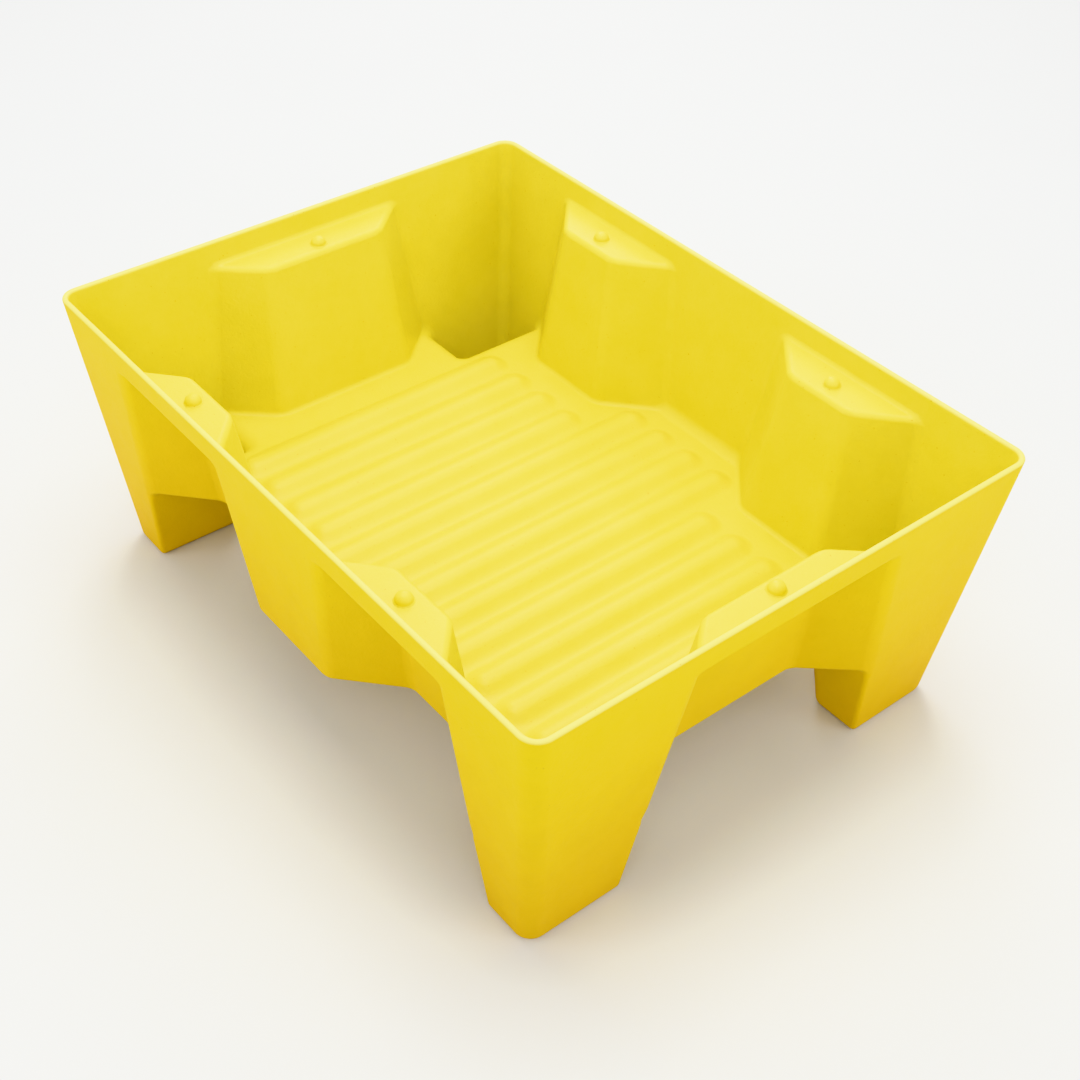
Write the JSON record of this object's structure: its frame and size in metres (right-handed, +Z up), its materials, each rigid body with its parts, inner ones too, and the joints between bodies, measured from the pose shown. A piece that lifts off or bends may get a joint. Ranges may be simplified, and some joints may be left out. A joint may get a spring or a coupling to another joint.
{
  "type": "spill containment pallet",
  "caption": "Open rectangular spill tray on hollow legs, with a ribbed sump floor and recessed walls that form inner ledges with locating pips.",
  "frame": {"origin": "on the ground under the middle of the tray", "axes": "+X along the length towards the right end, +Y along the width towards the rear, +Z up"},
  "size_m": [0.8, 0.6, 0.317],
  "materials": {
    "moulding": "satin, finely textured rotomoulded polyethylene"
  },
  "bodies": {
    "root": {"sump_floor": "moulding", "floor_rib_01": "moulding", "floor_rib_02": "moulding", "floor_rib_03": "moulding", "floor_rib_04": "moulding", "floor_rib_05": "moulding", "floor_rib_06": "moulding", "floor_rib_07": "moulding", "floor_rib_08": "moulding", "floor_rib_09": "moulding", "floor_rib_10": "moulding", "floor_rib_11": "moulding", "floor_rib_12": "moulding", "leg_front_left": "moulding", "leg_front_right": "moulding", "leg_rear_left": "moulding", "leg_rear_right": "moulding", "corner_wall_front_left": "moulding", "corner_wall_front_right": "moulding", "corner_wall_rear_left": "moulding", "corner_wall_rear_right": "moulding", "centre_wall_front": "moulding", "centre_wall_rear": "moulding", "ledge_front_left": "moulding", "ledge_front_right": "moulding", "ledge_rear_left": "moulding", "ledge_rear_right": "moulding", "ledge_left_end": "moulding", "ledge_right_end": "moulding", "pip_front_left": "moulding", "pip_front_right": "moulding", "pip_rear_left": "moulding", "pip_rear_right": "moulding", "pip_left_end": "moulding", "pip_right_end": "moulding", "rim": "moulding"}
  },
  "joints": []
}
